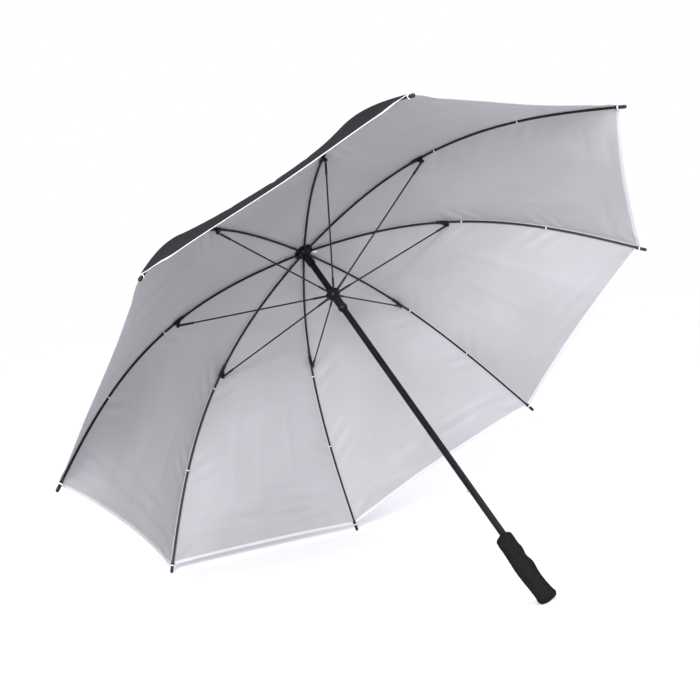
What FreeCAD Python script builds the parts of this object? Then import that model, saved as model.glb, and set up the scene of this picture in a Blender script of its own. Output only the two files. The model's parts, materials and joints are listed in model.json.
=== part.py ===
import FreeCAD, Part
import math
import os
import Sketcher
from FreeCAD import Placement, Rotation, Vector

# Stick umbrella of golf size, lying open on two rib tips and the end of its handle.
#
# Every piece is built in the umbrella's own frame: the shaft lies on the Z axis, +Z towards the ferrule,
# and Z = 0 is the plane of the pivots in the top notch. The whole is then leaned over onto the floor.

DOCUMENT = FreeCAD.newDocument("umbrella")

# alias, value, meaning; lengths are in mm and angles in degrees
DIMENSIONS = [
    ("rib_count", 8, "ribs, stretchers and canopy panels"),
    ("first_rib_angle", 22.5, "angle of rib 0 about the shaft"),
    ("lean_angle", 44.12, "lean of the shaft from upright"),
    ("hub_forward", 216.0, "notch pivot plane's centre along Y"),
    ("hub_height", 654.2, "notch pivot plane's centre above the floor"),
    ("shaft_dia", 13.0, "outside of the shaft tube"),
    ("shaft_bore", 10.8, "inside of the shaft tube"),
    ("shaft_top", 34.0, "top end of the tube"),
    ("shaft_bottom", -872.0, "bottom end of the tube, inside the handle"),
    ("catch_angle", 135.0, "angle of both catches about the shaft"),
    ("top_catch_at", -151.5, "holding edge of the top catch"),
    ("bottom_catch_at", -646.5, "holding edge of the bottom catch"),
    ("catch_width", 3.0, "width of a catch"),
    ("catch_reach", 9.9, "catch nose to the shaft's axis"),
    ("catch_nose", 7.0, "length of a catch's nose along the shaft"),
    ("catch_arm", 26.0, "length of a catch from its holding edge to its pivot"),
    ("catch_plate", 1.4, "thickness of a catch's arm"),
    ("catch_pivot_dia", 2.6, "rolled end of a catch's arm"),
    ("catch_window_spare", 0.8, "play round a catch in its window"),
    ("catch_gap", 0.4, "catch to the inside of the shaft"),
    ("pivot_ring_radius", 12.0, "circle of the pivots in notch and runner"),
    ("crown_radius", 15.0, "outside of both toothed crowns"),
    ("crown_half_height", 4.0, "crown above and below its pivots"),
    ("crown_bevel", 1.0, "bevel on the edges of both crowns"),
    ("crown_lip", 0.8, "step at the outside of both crowns"),
    ("crown_slot", 2.3, "width of a slot between two teeth"),
    ("slot_floor_radius", 8.6, "depth of a slot, from the axis"),
    ("wire_dia", 1.2, "ring wires"),
    ("wire_channel", 1.5, "width of the channel for a ring wire"),
    ("notch_sleeve_radius", 8.6, "sleeve below the notch's crown"),
    ("notch_sleeve_bottom", -35.0, "lower end of the notch's sleeve"),
    ("runner_pivot_at", -126.06, "plane of the runner's pivots"),
    ("runner_clearance", 0.25, "play between runner and shaft"),
    ("runner_sleeve_radius", 8.6, "sleeve of the runner"),
    ("runner_collar_radius", 9.8, "raised collar round the runner's foot"),
    ("runner_length", 47.0, "runner below its pivots"),
    ("runner_foot_bevel", 0.8, "taper of the runner's foot, in radius"),
    ("runner_foot_taper", 3.0, "taper of the runner's foot, in height"),
    ("runner_collar_from", 5.0, "lower edge of the collar, above the foot"),
    ("runner_collar_to", 9.0, "upper edge of the collar, above the foot"),
    ("runner_collar_bevel", 1.5, "slope above the collar"),
    ("runner_window_from", 24.0, "window for the catches, below the pivots"),
    ("runner_window_to", 35.0, "window for the catches, below the pivots"),
    ("runner_window_width", 5.0, "window for the catches"),
    ("eye_radius", 2.2, "round end of every eye"),
    ("eye_hole_dia", 1.6, "hole of every eye"),
    ("eye_blade", 1.8, "thickness of every eye"),
    ("eye_length", 8.0, "pivot to the start of the rod"),
    ("blade_overlap", 2.0, "how far an eye's blade runs into its rod"),
    ("rib_dia", 4.5, "rib rods"),
    ("rib_end_gap", 0.4, "rib rods short of their joint"),
    ("rib_hub_slope", 1.6, "fall of the rib at the notch"),
    ("rib_joint_slope", 21.8, "fall of the rib at the stretcher's joint"),
    ("rib_tip_slope", 45.4, "fall of the rib at its tip"),
    ("joint_out", 319.3, "rib at the stretcher's joint, from the shaft's axis"),
    ("joint_drop", 55.6, "rib at the stretcher's joint, below the notch"),
    ("tip_out", 664.9, "rib's tip, from the shaft's axis"),
    ("tip_drop", 315.4, "rib's tip, below the notch"),
    ("knuckle_radius", 2.7, "round end of the outer rib in its joint"),
    ("knuckle_spare", 0.35, "play round that end"),
    ("tip_dia", 6.8, "moulded tip of a rib"),
    ("tip_length", 22.0, "moulded tip of a rib"),
    ("joint_offset", 8.0, "stretcher pivot below the rib's centre line"),
    ("joint_sleeve_radius", 3.4, "bracket round the rib"),
    ("joint_sleeve_length", 20.0, "bracket round the rib"),
    ("joint_ear", 1.5, "thickness of a bracket's ear"),
    ("joint_ear_gap", 2.4, "space between the two ears"),
    ("joint_ear_radius", 3.2, "round end of an ear"),
    ("joint_foot", 0.6, "sleeve's end to the outer rib's play"),
    ("pin_dia", 1.3, "pin between the two ears"),
    ("pin_head", 0.8, "pin standing out of each ear"),
    ("stretcher_dia", 3.2, "stretcher rods"),
    ("socket_dia", 4.6, "sockets at both ends of a stretcher"),
    ("socket_length", 24.0, "sockets at both ends of a stretcher"),
    ("canopy_gap", 3.9, "rib's centre line to the canopy's underside"),
    ("canopy_thickness", 1.0, "canopy with its lining"),
    ("canopy_hole", 15.6, "canopy's inner edge, from the shaft's axis"),
    ("canopy_rim_inset", 16.0, "rim to the rib's tip, along the rib"),
    ("canopy_seam_gap", 1.0, "play between two neighbouring gores"),
    ("canopy_fold_gap", 2.4, "play between inner and outer gore"),
    ("rim_scallop", 9.0, "depth of the rim's curve between two ribs"),
    ("rosette_radius", 17.0, "washer under the ferrule"),
    ("rosette_thickness", 1.6, "washer under the ferrule"),
    ("rosette_at", 5.8, "underside of the washer"),
    ("rosette_bevel", 1.5, "bevel of the washer's edge"),
    ("ferrule_base_radius", 9.5, "foot of the ferrule"),
    ("ferrule_tip_radius", 5.0, "tip of the ferrule"),
    ("ferrule_tip_length", 20.0, "straight tip of the ferrule"),
    ("ferrule_top", 66.0, "end of the ferrule"),
    ("ferrule_wall_top", 35.0, "bottom of the ferrule's socket"),
    ("ferrule_flange", 1.5, "flange round the ferrule's foot, in width and height"),
    ("ferrule_vent", 0.4, "radius of the vent through the tip"),
    ("grip_top", -756.4, "top of the handle"),
    ("grip_finger_angle", 311.0, "direction of the finger grooves"),
]
# distance below the handle's top, reach on the palm's side, reach on the fingers' side
GRIP_SECTIONS = [
    (0.0, 12.0, 9.8),
    (3.0, 17.2, 12.6),
    (10.0, 19.2, 13.4),
    (25.0, 19.4, 13.2),
    (37.0, 19.7, 14.6),
    (52.0, 20.4, 12.4),
    (67.0, 20.9, 15.6),
    (88.0, 20.2, 13.9),
    (108.0, 18.8, 14.0),
    (126.0, 18.0, 16.0),
    (136.5, 17.9, 17.4),
    (139.3, 16.0, 15.6),
]
for number, (below, palm, fingers) in enumerate(GRIP_SECTIONS):
    DIMENSIONS += [
        ("grip_below_%d" % number, below, "grip section's distance below the top"),
        ("grip_palm_%d" % number, palm, "grip section's reach on the palm's side"),
        ("grip_fingers_%d" % number, fingers, "grip section's reach on the fingers' side"),
    ]


def fill_sheet():
    sheet = DOCUMENT.addObject("Spreadsheet::Sheet", "Sizes")
    for row, (alias, value, meaning) in enumerate(DIMENSIONS, start=1):
        sheet.set("A%d" % row, alias)
        sheet.set("B%d" % row, str(value))
        sheet.set("C%d" % row, meaning)
        sheet.setAlias("B%d" % row, alias)
    DOCUMENT.recompute()
    return sheet


SHEET = fill_sheet()


def size(alias):
    return float(SHEET.get(alias))


def bound(formula):
    """A formula on the sheet's aliases, written the way an expression needs it."""
    words = []
    for word in formula.split():
        words.append("Sizes." + word if any(word == row[0] for row in DIMENSIONS) else word)
    return " ".join(words)


def worked_out(formula):
    return float(SHEET.evalExpression(bound(formula)))


def add(kind, name, sizes=None, placement=None):
    """One object of the document, with properties bound to formulas on the sheet."""
    made = DOCUMENT.addObject(kind, name)
    for prop, formula in (sizes or {}).items():
        made.setExpression(prop, bound(formula))
    if placement:
        made.Placement = placement
    return made


def along_x(z=0.0, x=0.0):
    """Stands a primitive's Z axis along +X."""
    return Placement(Vector(x, 0, z), Rotation(Vector(0, 1, 0), 90))


def along_y(x=0.0, y=0.0, z=0.0):
    """Lays a primitive's Z axis along +Y."""
    return Placement(Vector(x, y, z), Rotation(Vector(1, 0, 0), -90))


def about_shaft(angle):
    return Placement(Vector(), Rotation(Vector(0, 0, 1), angle))


def fused(name, pieces):
    made = DOCUMENT.addObject("Part::MultiFuse", name)
    made.Shapes = pieces
    return made


def cut(name, base, tool):
    made = DOCUMENT.addObject("Part::Cut", name)
    made.Base = base
    made.Tool = tool
    return made


def outline_sketch(body, plane_role, points, label):
    """A closed outline of straight sides whose corners are bound to formulas (across, up)."""
    sketch = body.newObject("Sketcher::SketchObject", label)
    plane = next(f for f in body.Origin.OriginFeatures if f.Role == plane_role)
    sketch.AttachmentSupport = (plane, [""])
    sketch.MapMode = "FlatFace"
    corners = [Vector(worked_out(across), worked_out(up), 0) for across, up in points]
    for n, corner in enumerate(corners):
        sketch.addGeometry(Part.LineSegment(corner, corners[(n + 1) % len(corners)]))
    for n in range(len(corners)):
        sketch.addConstraint(Sketcher.Constraint("Coincident", n, 2, (n + 1) % len(corners), 1))
    for n, (across, up) in enumerate(points):
        for direction, value, formula in (
            ("DistanceX", corners[n].x, across),
            ("DistanceY", corners[n].y, up),
        ):
            row = sketch.addConstraint(Sketcher.Constraint(direction, -1, 1, n, 1, value))
            sketch.setExpression("Constraints[%d]" % row, bound(formula))
    return sketch


def turned(name, points):
    """A body turned about the shaft's axis from an outline of (radius, height)."""
    body = DOCUMENT.addObject("PartDesign::Body", name)
    sketch = outline_sketch(body, "XZ_Plane", points, name + "_outline")
    turn = body.newObject("PartDesign::Revolution", name + "_turn")
    turn.Profile = sketch
    turn.ReferenceAxis = (sketch, ["V_Axis"])
    turn.Angle = 360
    DOCUMENT.recompute()
    return body


def slotted(body, centre):
    """Cuts one radial slot through a crown and repeats it for every rib."""
    name = body.Name
    before = body.Shape.Volume
    sketch = outline_sketch(
        body,
        "XZ_Plane",
        [
            ("slot_floor_radius", centre + " - 2 * crown_half_height"),
            ("2 * crown_radius", centre + " - 2 * crown_half_height"),
            ("2 * crown_radius", centre + " + 2 * crown_half_height"),
            ("slot_floor_radius", centre + " + 2 * crown_half_height"),
        ],
        name + "_slot_outline",
    )
    slot = body.newObject("PartDesign::Pocket", name + "_slot")
    slot.Profile = sketch
    slot.SideType = "Symmetric"
    slot.Type = "Length"
    slot.setExpression("Length", bound("crown_slot"))
    DOCUMENT.recompute()
    ring = body.newObject("PartDesign::PolarPattern", name + "_slots")
    ring.Originals = [slot]
    ring.Axis = (next(f for f in body.Origin.OriginFeatures if f.Role == "Z_Axis"), [""])
    ring.Angle = 360
    ring.setExpression("Occurrences", bound("rib_count"))
    body.Tip = ring
    body.Placement = about_shaft(size("first_rib_angle"))
    DOCUMENT.recompute()
    slot_area = (size("crown_radius") - size("slot_floor_radius")) * 2 * size("crown_half_height")
    expected = 0.5 * size("rib_count") * slot_area * size("crown_slot")
    if before - body.Shape.Volume < expected:
        raise RuntimeError(name + ": the slots cut too little")


# ---- pieces on the shaft ----


def catch_window(name, edge):
    """The hole in the shaft that a catch's nose comes out of."""
    spare = "catch_window_spare"
    hole = add(
        "Part::Box",
        name,
        {
            "Length": "shaft_dia",
            "Width": "catch_width + 2 * " + spare,
            "Height": "catch_nose + 3 * " + spare,
        },
    )
    low = bound(edge + " - catch_nose - 2 * " + spare)
    half = bound("0 - catch_width / 2 - " + spare)
    turn = "rotation(vector(0; 0; 1); Sizes.catch_angle)"
    hole.setExpression("Placement", "placement(%s * vector(0; %s; %s); %s)" % (turn, half, low, turn))
    return hole


def make_shaft():
    base = Placement(Vector(0, 0, size("shaft_bottom")), Rotation())
    length = "shaft_top - shaft_bottom"
    tube = add("Part::Cylinder", "shaft_outside", {"Radius": "shaft_dia / 2", "Height": length}, base)
    bore = add("Part::Cylinder", "shaft_inside", {"Radius": "shaft_bore / 2", "Height": length}, base)
    windows = [catch_window("top_window", "top_catch_at"), catch_window("bottom_window", "bottom_catch_at")]
    return cut("shaft", tube, fused("shaft_hollows", [bore] + windows))


def make_catch(name, edge):
    """A flat arm inside the shaft, rolled at its foot, with a wedge-shaped nose."""
    body = DOCUMENT.addObject("PartDesign::Body", name + "_arm")
    arm = "shaft_bore / 2 - catch_gap"
    sketch = outline_sketch(
        body,
        "XZ_Plane",
        [
            (arm + " - catch_plate", edge + " - catch_arm"),
            (arm, edge + " - catch_arm"),
            (arm, edge + " - catch_nose"),
            ("catch_reach", edge + " - catch_nose / 3"),
            ("catch_reach", edge),
            (arm + " - catch_plate", edge),
        ],
        name + "_side",
    )
    pad = body.newObject("PartDesign::Pad", name + "_plate")
    pad.Profile = sketch
    pad.SideType = "Symmetric"
    pad.setExpression("Length", bound("catch_width"))
    DOCUMENT.recompute()
    roll = add("Part::Cylinder", name + "_roll", {"Radius": "catch_pivot_dia / 2", "Height": "catch_width"})
    roll.Placement = along_y(
        worked_out(arm + " - catch_pivot_dia / 2"),
        -size("catch_width") / 2,
        size(edge) - size("catch_arm"),
    )
    return fused(name + "_whole", [body, roll])


def make_notch():
    top = "crown_half_height - crown_lip"
    notch = turned(
        "notch",
        [
            ("shaft_dia / 2", "notch_sleeve_bottom"),
            ("notch_sleeve_radius", "notch_sleeve_bottom"),
            ("notch_sleeve_radius", "0 - 2 * crown_half_height"),
            ("crown_radius - crown_bevel", "0 - crown_half_height"),
            ("crown_radius", "0 - crown_half_height + crown_bevel"),
            ("crown_radius", top),
            ("pivot_ring_radius + wire_channel / 2", top),
            ("pivot_ring_radius + wire_channel / 2", "0 - wire_dia / 2"),
            ("pivot_ring_radius - wire_channel / 2", "0 - wire_dia / 2"),
            ("pivot_ring_radius - wire_channel / 2", top),
            ("shaft_dia / 2", top),
        ],
    )
    slotted(notch, "0")
    return notch


def make_runner():
    pivot = "runner_pivot_at"
    bore = "shaft_dia / 2 + runner_clearance"
    foot = pivot + " - runner_length"
    inner_wall = "pivot_ring_radius - wire_channel / 2"
    outer_wall = "pivot_ring_radius + wire_channel / 2"
    runner = turned(
        "runner_body",
        [
            (bore, foot),
            ("runner_sleeve_radius - runner_foot_bevel", foot),
            ("runner_sleeve_radius", foot + " + runner_foot_taper"),
            ("runner_collar_radius", foot + " + runner_collar_from"),
            ("runner_collar_radius", foot + " + runner_collar_to"),
            ("runner_sleeve_radius", foot + " + runner_collar_to + runner_collar_bevel"),
            ("runner_sleeve_radius", pivot + " - 2 * crown_half_height"),
            (inner_wall, pivot + " - crown_half_height"),
            (inner_wall, pivot + " + wire_dia / 2"),
            (outer_wall, pivot + " + wire_dia / 2"),
            (outer_wall, pivot + " - crown_half_height + crown_lip"),
            ("crown_radius", pivot + " - crown_half_height + crown_lip"),
            ("crown_radius", pivot + " + crown_half_height - crown_bevel"),
            ("crown_radius - crown_bevel", pivot + " + crown_half_height"),
            (bore, pivot + " + crown_half_height"),
        ],
    )
    slotted(runner, pivot)
    window = add(
        "Part::Box",
        "runner_window",
        {
            "Length": "shaft_dia",
            "Width": "runner_window_width",
            "Height": "runner_window_to - runner_window_from",
        },
    )
    low = bound(pivot + " - runner_window_to")
    half = bound("0 - runner_window_width / 2")
    turn = "rotation(vector(0; 0; 1); Sizes.catch_angle)"
    window.setExpression("Placement", "placement(%s * vector(0; %s; %s); %s)" % (turn, half, low, turn))
    return cut("runner", runner, window)


def make_wire(name, height):
    wire = add("Part::Torus", name, {"Radius1": "pivot_ring_radius", "Radius2": "wire_dia / 2"})
    wire.setExpression("Placement.Base.z", bound(height))
    return wire


def make_ferrule():
    foot = "rosette_at + rosette_thickness"
    return turned(
        "ferrule",
        [
            ("shaft_dia / 2", foot),
            ("ferrule_base_radius + ferrule_flange", foot),
            ("ferrule_base_radius + ferrule_flange", foot + " + ferrule_flange"),
            ("ferrule_base_radius", foot + " + 2 * ferrule_flange"),
            ("ferrule_tip_radius", "ferrule_top - ferrule_tip_length"),
            ("ferrule_tip_radius", "ferrule_top - crown_bevel"),
            ("ferrule_tip_radius - crown_bevel", "ferrule_top"),
            ("ferrule_vent", "ferrule_top"),
            ("ferrule_vent", "ferrule_wall_top"),
            ("shaft_dia / 2", "ferrule_wall_top"),
        ],
    )


def make_rosette():
    return turned(
        "rosette",
        [
            ("shaft_dia / 2", "rosette_at"),
            ("rosette_radius", "rosette_at"),
            ("rosette_radius", "rosette_at + rosette_thickness / 2"),
            ("rosette_radius - rosette_bevel", "rosette_at + rosette_thickness"),
            ("shaft_dia / 2", "rosette_at + rosette_thickness"),
        ],
    )


def make_grip():
    """A foam handle lofted through round sections whose centres wander off the shaft's axis."""
    rings = []
    for n in range(len(GRIP_SECTIONS)):
        palm, fingers = "grip_palm_%d" % n, "grip_fingers_%d" % n
        ring = add("Part::Circle", "grip_ring_%d" % n, {"Radius": "( %s + %s ) / 2" % (palm, fingers)})
        ring.setExpression("Placement.Base.x", bound("( %s - %s ) / 2" % (fingers, palm)))
        ring.setExpression("Placement.Base.z", bound("grip_top - grip_below_%d" % n))
        rings.append(ring)
    DOCUMENT.recompute()
    solid = DOCUMENT.addObject("Part::Loft", "grip_loft")
    solid.Sections = rings
    solid.Solid = True
    solid.Ruled = False
    solid.Placement = about_shaft(size("grip_finger_angle"))
    DOCUMENT.recompute()
    bore = add(
        "Part::Cylinder",
        "grip_bore",
        {"Radius": "shaft_dia / 2", "Height": "grip_top - shaft_bottom + 1"},
        Placement(Vector(0, 0, size("shaft_bottom")), Rotation()),
    )
    return cut("handle_grip", solid, bore)


# ---- pieces repeated for every rib, each made once at angle 0 ----


def slope_direction(alias):
    fall = math.radians(size(alias))
    return Vector(math.cos(fall), 0, -math.sin(fall))


HUB_END = Vector(size("pivot_ring_radius"), 0, 0)
JOINT = Vector(size("joint_out"), 0, -size("joint_drop"))
TIP = Vector(size("tip_out"), 0, -size("tip_drop"))
HUB_RUN = slope_direction("rib_hub_slope")
JOINT_RUN = slope_direction("rib_joint_slope")
TIP_RUN = slope_direction("rib_tip_slope")
# how far a Bezier curve's handles reach, as shares of its chord, for an evenly bowed rib
INNER_HANDLES = (0.331, 0.358)
OUTER_HANDLES = (0.391, 0.291)
# points that a curve beside the rib is drawn through, less one
OFFSET_STEPS = 12


def bowed(start, start_run, end, end_run, handles, offset=0.0):
    """A Bezier curve between two points of the rib, or one at a set height above it."""

    def raised(point, run):
        return point + Vector(-run.z, 0, run.x) * offset

    chord = (end - start).Length
    poles = [
        start,
        start + start_run * chord * handles[0],
        end - end_run * chord * handles[1],
        end,
    ]
    curve = Part.BezierCurve()
    curve.setPoles(poles)
    if not offset:
        return curve
    points = []
    for n in range(OFFSET_STEPS + 1):
        at = n / OFFSET_STEPS
        points.append(raised(curve.value(at), curve.tangent(at)[0]))
    above = Part.BSplineCurve()
    above.interpolate(points)
    return above


def inner_curve(offset=0.0):
    return bowed(HUB_END, HUB_RUN, JOINT, JOINT_RUN, INNER_HANDLES, offset)


def outer_curve(offset=0.0):
    return bowed(JOINT, JOINT_RUN, TIP, TIP_RUN, OUTER_HANDLES, offset)


def rod_along(curve, first, last, dia):
    """A round rod along part of a curve, between two lengths from its start."""
    total = curve.length()
    low = curve.parameterAtDistance(first, curve.FirstParameter)
    high = curve.parameterAtDistance(last if last > 0 else total + last, curve.FirstParameter)
    edge = curve.toShape(low, high)
    run = edge.tangentAt(edge.FirstParameter)
    ring = Part.Wire(Part.makeCircle(dia / 2, edge.valueAt(edge.FirstParameter), run))
    return Part.Wire(edge).makePipeShell([ring], True, False)


def across_cylinder(centre, radius, width):
    """A cylinder whose axis lies across the rib."""
    start = centre - Vector(0, width / 2, 0)
    return Part.makeCylinder(radius, width, start, Vector(0, 1, 0))


def eye(centre, run):
    """A flat blade with a round end, its hole to be cut at the end."""
    length = size("eye_length") + size("blade_overlap")
    blade = Part.makeBox(length, size("eye_blade"), 2 * size("eye_radius"))
    blade.translate(Vector(0, -size("eye_blade") / 2, -size("eye_radius")))
    angle = -math.degrees(math.atan2(run.z, run.x))
    blade.Placement = Placement(centre, Rotation(Vector(0, 1, 0), angle)) * blade.Placement
    return blade.fuse(across_cylinder(centre, size("eye_radius"), size("eye_blade")))


def rib_inner_shape():
    curve = inner_curve()
    rod = rod_along(curve, size("eye_length"), -size("rib_end_gap"), size("rib_dia"))
    whole = rod.fuse(eye(HUB_END, HUB_RUN))
    whole = whole.cut(across_cylinder(HUB_END, size("eye_hole_dia") / 2, size("rib_dia") * 2))
    room = size("knuckle_radius") + size("knuckle_spare")
    return whole.cut(across_cylinder(JOINT, room, size("rib_dia") * 2))


def rib_outer_shape():
    curve = outer_curve()
    rod = rod_along(curve, size("rib_end_gap"), -size("tip_length") / 2, size("rib_dia"))
    whole = rod.fuse(across_cylinder(JOINT, size("knuckle_radius"), size("rib_dia")))
    radius = size("tip_dia") / 2
    start = TIP - TIP_RUN * size("tip_length")
    cap = Part.makeCylinder(radius, size("tip_length") - radius, start, TIP_RUN)
    dome = Part.makeSphere(radius, TIP - TIP_RUN * radius)
    return whole.fuse(cap).fuse(dome)


def stretcher_pivot():
    return JOINT + Vector(JOINT_RUN.z, 0, -JOINT_RUN.x) * size("joint_offset")


# an ear's length along the sleeve, as a share of it, and where its straight sides meet its round end, in radii
EAR_ROOT = 0.55
EAR_HEEL = Vector(-0.6, 0, -0.8)
EAR_TOE = Vector(0.95, 0, 0.1)


def rib_joint_shape():
    """A sleeve on the rib's end with two ears and the pin that the stretcher turns on."""
    sleeve_end = JOINT - JOINT_RUN * (size("knuckle_radius") + size("knuckle_spare") + size("joint_foot"))
    start = sleeve_end - JOINT_RUN * size("joint_sleeve_length")
    length = size("joint_sleeve_length")
    sleeve = Part.makeCylinder(size("joint_sleeve_radius"), length, start, JOINT_RUN)
    pivot = stretcher_pivot()
    root_near = sleeve_end - Vector(0, 0, size("rib_dia") / 2)
    root_far = root_near - JOINT_RUN * size("joint_sleeve_length") * EAR_ROOT
    radius = size("joint_ear_radius")
    outline = [
        root_near,
        root_far,
        pivot + EAR_HEEL * radius,
        pivot + EAR_TOE * radius,
    ]
    ears = []
    for side in (-1, 1):
        inside = side * size("joint_ear_gap") / 2
        plate = Part.Face(Part.makePolygon([p + Vector(0, inside, 0) for p in outline + outline[:1]]))
        ear = plate.extrude(Vector(0, side * size("joint_ear"), 0))
        round_end = Part.makeCylinder(
            radius, size("joint_ear"), pivot + Vector(0, inside, 0), Vector(0, side, 0)
        )
        ears.append(ear.fuse(round_end))
    width = size("joint_ear_gap") + 2 * (size("joint_ear") + size("pin_head"))
    pin = across_cylinder(pivot, size("pin_dia") / 2, width)
    whole = sleeve.fuse(ears + [pin])
    bore = rod_along(inner_curve(), size("eye_length"), -size("rib_end_gap"), size("rib_dia"))
    return whole.cut(bore)


def stretcher_length():
    far = stretcher_pivot()
    near = Vector(size("pivot_ring_radius"), 0, size("runner_pivot_at"))
    return near, far


def make_stretcher():
    """A thin rod with a socket and a flat eye at both ends, lying along +X from its lower pivot."""
    near, far = stretcher_length()
    length = (far - near).Length
    rod = add("Part::Cylinder", "stretcher_rod", {"Radius": "stretcher_dia / 2"}, along_x(x=size("eye_length")))
    rod.Height = length - 2 * size("eye_length")
    pieces = [rod]
    holes = []
    for n, (at, turn) in enumerate(((0.0, 0), (length, 180))):
        facing = Placement(Vector(at, 0, 0), Rotation(Vector(0, 0, 1), turn))
        socket = add(
            "Part::Cylinder",
            "stretcher_socket_%d" % n,
            {"Radius": "socket_dia / 2", "Height": "socket_length"},
            facing * along_x(x=size("eye_length")),
        )
        blade = add(
            "Part::Box",
            "stretcher_blade_%d" % n,
            {"Length": "eye_length + blade_overlap", "Width": "eye_blade", "Height": "2 * eye_radius"},
            facing * Placement(Vector(0, -size("eye_blade") / 2, -size("eye_radius")), Rotation()),
        )
        round_end = add(
            "Part::Cylinder",
            "stretcher_round_%d" % n,
            {"Radius": "eye_radius", "Height": "eye_blade"},
            along_y(at, -size("eye_blade") / 2),
        )
        hole = add(
            "Part::Cylinder",
            "stretcher_hole_%d" % n,
            {"Radius": "eye_hole_dia / 2", "Height": "2 * socket_dia"},
            along_y(at, -size("socket_dia")),
        )
        pieces += [socket, blade, round_end]
        holes.append(hole)
    whole = cut("stretcher_whole", fused("stretcher_solid", pieces), fused("stretcher_holes", holes))
    rise = math.degrees(math.atan2(far.z - near.z, far.x - near.x))
    whole.Placement = Placement(near, Rotation(Vector(0, 1, 0), -rise))
    DOCUMENT.recompute()
    return whole


def gore_shape(curve_at_offset, starts_at, ends_at):
    """One rib's share of the canopy: two flat-sided vaults that meet over the rib.

    The cloth between two ribs is straight across, so each half is the rib's own curve drawn out
    square to the middle of its panel.
    """
    inside = curve_at_offset(size("canopy_gap"))
    outside = curve_at_offset(size("canopy_gap") + size("canopy_thickness"))

    def stretch(curve):
        low = curve.parameterAtDistance(starts_at, curve.FirstParameter)
        high = curve.parameterAtDistance(curve.length() - ends_at, curve.FirstParameter)
        return curve.toShape(low, high)

    lower, upper = stretch(inside), stretch(outside)
    sides = [
        Part.makeLine(lower.Vertexes[0].Point, upper.Vertexes[0].Point),
        Part.makeLine(lower.Vertexes[-1].Point, upper.Vertexes[-1].Point),
    ]
    band = Part.Face(Part.Wire(Part.__sortEdges__([lower, upper] + sides)))
    half_angle = 180 / size("rib_count")
    slant = math.radians(half_angle)
    reach = size("tip_out")
    deep = 3 * reach
    half_gap = size("canopy_seam_gap") / 2
    halves = []
    for side in (-1, 1):
        across = Vector(-math.sin(slant), side * math.cos(slant), 0)
        vault = band.extrude(across * reach)
        beyond = Part.makeBox(deep, deep, deep, Vector(0, -half_gap if side > 0 else half_gap - deep, -deep / 2))
        beyond.rotate(Vector(), Vector(0, 0, 1), side * half_angle)
        halves.append(vault.cut(beyond))
    return halves[0].fuse(halves[1]).removeSplitter()


# how far the curved cut of the rim goes above and below the cloth
RIM_CUT_REACH = 40


def scalloped(gore):
    """Curves the rim inwards between two ribs."""
    rise = size("rim_scallop")
    half_angle = math.radians(180 / size("rib_count"))
    rim = TIP - TIP_RUN * size("canopy_rim_inset")
    half_span = rim.x * math.sin(half_angle)
    radius = (half_span ** 2 + rise ** 2) / (2 * rise)
    for side in (-1, 1):
        turn = Rotation(Vector(0, 0, 1), side * math.degrees(half_angle))
        middle = turn.multVec(Vector(rim.x * math.cos(half_angle), 0, rim.z))
        run = turn.multVec(TIP_RUN)
        normal = turn.multVec(Vector(-TIP_RUN.z, 0, TIP_RUN.x))
        centre = middle + run * (radius - rise)
        cutter = Part.makeCylinder(radius, 2 * RIM_CUT_REACH, centre - normal * RIM_CUT_REACH, normal)
        gore = gore.cut(cutter)
    return gore


def canopy_inner_shape():
    start = size("canopy_hole") - size("pivot_ring_radius")
    return gore_shape(inner_curve, start, size("canopy_fold_gap") / 2)


def canopy_outer_shape():
    return scalloped(gore_shape(outer_curve, size("canopy_fold_gap") / 2, size("canopy_rim_inset")))


# ---- the umbrella leaned over onto the floor ----

LEAN = Rotation(Vector(1, 0, 0), -size("lean_angle"))
ON_FLOOR = Placement(Vector(0, size("hub_forward"), size("hub_height")), LEAN)


def solid_of(shape):
    """The plain solid, or a compound of them, without wrapping levels."""
    return shape.Solids[0] if len(shape.Solids) == 1 else Part.makeCompound(shape.Solids)


def placed(label, shape, angle=0.0):
    """A finished sub-part in its place on the floor."""
    form = solid_of(shape)
    node = DOCUMENT.addObject("Part::Feature", label + "_placed")
    node.Label = label
    node.Shape = form
    node.Placement = ON_FLOOR.multiply(about_shaft(angle)).multiply(form.Placement)
    return node


def main():
    on_shaft = {
        "shaft": make_shaft(),
        "notch": make_notch(),
        "notch_wire": make_wire("notch_wire", "0"),
        "ferrule": make_ferrule(),
        "rosette": make_rosette(),
        "runner": make_runner(),
        "runner_wire": make_wire("runner_wire", "runner_pivot_at"),
        "handle_grip": make_grip(),
    }
    catches = {
        "top_catch": make_catch("top_catch", "top_catch_at"),
        "bottom_catch": make_catch("bottom_catch", "bottom_catch_at"),
    }
    stretcher = make_stretcher()
    DOCUMENT.recompute()
    for label, made in (on_shaft | catches).items():
        made.Label = label + "_form"
    nodes = [placed(label, made.Shape) for label, made in on_shaft.items()]
    nodes += [placed(label, made.Shape, size("catch_angle")) for label, made in catches.items()]
    repeated = {
        "rib_inner": rib_inner_shape(),
        "rib_joint": rib_joint_shape(),
        "rib_outer": rib_outer_shape(),
        "stretcher": stretcher.Shape,
        "canopy_inner": canopy_inner_shape(),
        "canopy_outer": canopy_outer_shape(),
    }
    count = int(size("rib_count"))
    for label, shape in repeated.items():
        for n in range(count):
            angle = size("first_rib_angle") + n * 360 / count
            nodes.append(placed("%s_%d" % (label, n), shape, angle))
    DOCUMENT.recompute()
    write(nodes)


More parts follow.
